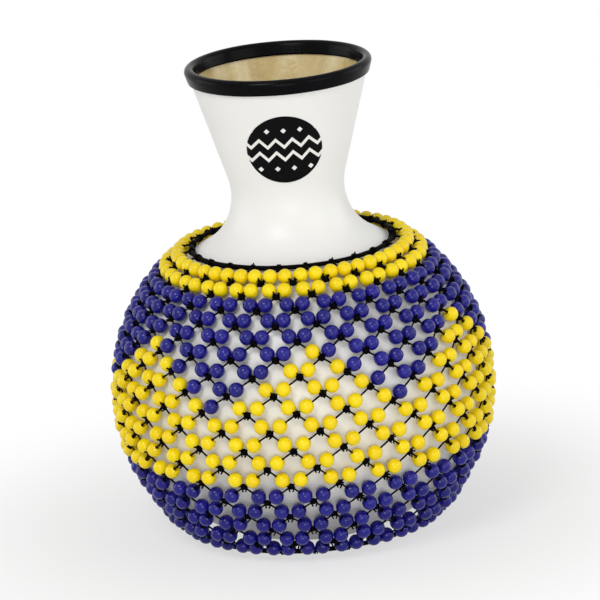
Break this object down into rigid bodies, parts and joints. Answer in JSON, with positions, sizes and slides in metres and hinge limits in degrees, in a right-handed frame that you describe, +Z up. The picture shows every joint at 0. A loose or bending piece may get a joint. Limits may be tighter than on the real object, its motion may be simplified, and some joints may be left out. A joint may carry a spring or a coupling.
{
  "type": "shekere",
  "caption": "Shekere: hollow gourd-shaped shell with a rubber-edged mouth and a loose net of knotted cord and round beads.",
  "frame": {"origin": "centre of the shell's flat base", "axes": "+Z up along the shell's axis, towards the mouth; -Y towards the front, where the badge is"},
  "size_m": [0.2544, 0.2544, 0.3135],
  "materials": {
    "shell_gelcoat": "glossy moulded shell",
    "trim_rubber": "satin extruded edging",
    "badge_vinyl": "smooth vinyl",
    "net_cord": "twisted waxed cord",
    "bead_yellow": "glossy moulded bead",
    "bead_blue": "glossy moulded bead"
  },
  "bodies": {
    "shell": {"shell": "shell_gelcoat", "mouth_trim": "trim_rubber", "badge": "badge_vinyl"},
    "collar": {"collar_cord": "net_cord", "collar_hitches": "net_cord", "collar_tie": "net_cord"},
    "skirt": {"drop_cords": "net_cord", "base_cord": "net_cord", "base_hitches": "net_cord", "net_course_01": "net_cord", "net_course_02": "net_cord", "net_course_03": "net_cord", "net_course_04": "net_cord", "net_course_05": "net_cord", "net_course_06": "net_cord", "net_course_07": "net_cord", "net_course_08": "net_cord", "net_course_09": "net_cord", "net_course_10": "net_cord", "net_course_11": "net_cord", "net_course_12": "net_cord", "net_course_13": "net_cord", "net_course_14": "net_cord", "net_course_15": "net_cord", "net_course_16": "net_cord", "net_course_17": "net_cord", "net_course_18": "net_cord", "yellow_beads_01": "bead_yellow", "yellow_beads_02": "bead_yellow", "yellow_beads_06": "bead_yellow", "yellow_beads_07": "bead_yellow", "yellow_beads_08": "bead_yellow", "yellow_beads_09": "bead_yellow", "yellow_beads_10": "bead_yellow", "yellow_beads_11": "bead_yellow", "yellow_beads_12": "bead_yellow", "yellow_beads_13": "bead_yellow", "blue_beads_03": "bead_blue", "blue_beads_04": "bead_blue", "blue_beads_05": "bead_blue", "blue_beads_06": "bead_blue", "blue_beads_07": "bead_blue", "blue_beads_08": "bead_blue", "blue_beads_09": "bead_blue", "blue_beads_14": "bead_blue", "blue_beads_15": "bead_blue", "blue_beads_16": "bead_blue", "blue_beads_17": "bead_blue", "blue_beads_18": "bead_blue"}
  },
  "joints": [
    {"name": "net_turn", "type": "hinge", "parent": "shell", "child": "collar", "pos_m": [0, 0, 0.1923], "axis": [0, 0, 1], "continuous": true},
    {"name": "net_lift", "type": "slide", "parent": "collar", "child": "skirt", "axis": [0, 0, 1], "range_m": [0, 0.003], "deforming": ["drop_cords"]}
  ]
}
